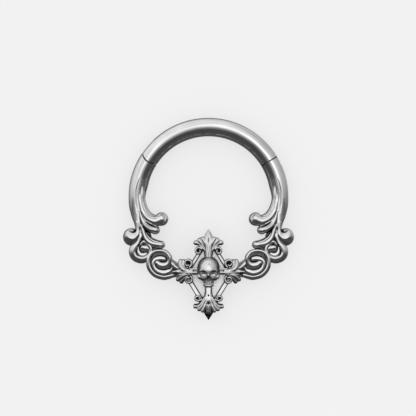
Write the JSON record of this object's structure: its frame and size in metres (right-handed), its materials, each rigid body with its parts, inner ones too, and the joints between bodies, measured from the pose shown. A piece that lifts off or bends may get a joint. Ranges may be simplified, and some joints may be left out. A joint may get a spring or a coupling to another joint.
{
  "type": "clicker ring",
  "caption": "Hinged-segment body jewellery ring with a cast front of leaf scrolls, a lozenge and a floriated cross bearing a small skull; lies on its flat back.",
  "frame": {"origin": "on the plane that the ring's flat back rests on, under the middle of its box", "axes": "+Z out of the decorated front, along the hoop's axis; +Y from the cross to the hinged segment; +X to the closing seam's side"},
  "size_m": [0.0112, 0.0132, 0.002],
  "materials": {
    "antiqued_steel": "cast steel, tumbled bright on the high places and dark in the recesses",
    "polished_steel": "polished, with faint hairlines along the wire",
    "pin_steel": "drawn pin, end turned flat"
  },
  "bodies": {
    "front": {"ornate_front": "antiqued_steel"},
    "segment": {"hinged_segment": "polished_steel", "hinge_pin": "pin_steel"}
  },
  "joints": [
    {"name": "segment_hinge", "type": "hinge", "parent": "front", "child": "segment", "pos_m": [-0.00348, 0.00439, 0.0006], "axis": [0, 0, 1], "range_deg": [0, 90]}
  ]
}
